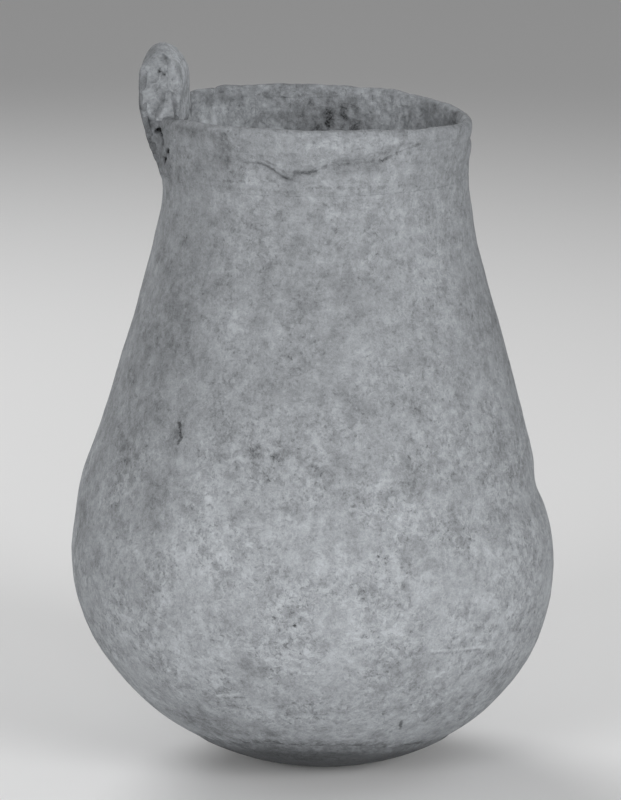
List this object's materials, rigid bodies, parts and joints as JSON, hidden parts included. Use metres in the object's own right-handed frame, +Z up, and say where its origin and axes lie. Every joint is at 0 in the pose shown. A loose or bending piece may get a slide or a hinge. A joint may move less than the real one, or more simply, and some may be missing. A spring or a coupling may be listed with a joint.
{
  "type": "pottery jar",
  "caption": "Bag-shaped hand-built pottery jar with a round bottom on a small foot, a folded lip and a small strap handle over the rim.",
  "frame": {"origin": "on the surface the jar stands on, under the middle of its box", "axes": "+Z up the jar's axis; the handle is on the -X side; -Y faces the viewer of the picture"},
  "size_m": [0.1818, 0.1818, 0.2714],
  "materials": {
    "belly_clay": "dry unglazed fired clay with mottled encrustation",
    "wall_clay": "dry unglazed fired clay, wiped smooth, mottled",
    "neck_clay": "dry unglazed fired clay with fine wiping lines",
    "handle_clay": "dry unglazed fired clay, rough",
    "foot_clay": "dry unglazed fired clay, worn and dark",
    "burial_earth": "hard crumbly earth"
  },
  "bodies": {
    "root": {"foot_pad": "foot_clay", "base_bowl": "belly_clay", "lower_wall": "wall_clay", "upper_wall": "wall_clay", "neck_ring": "neck_clay", "lip_fold": "neck_clay", "handle_strap": "handle_clay", "handle_upper_root": "handle_clay", "handle_lower_root": "handle_clay", "handle_eye_fill": "burial_earth"}
  },
  "joints": []
}
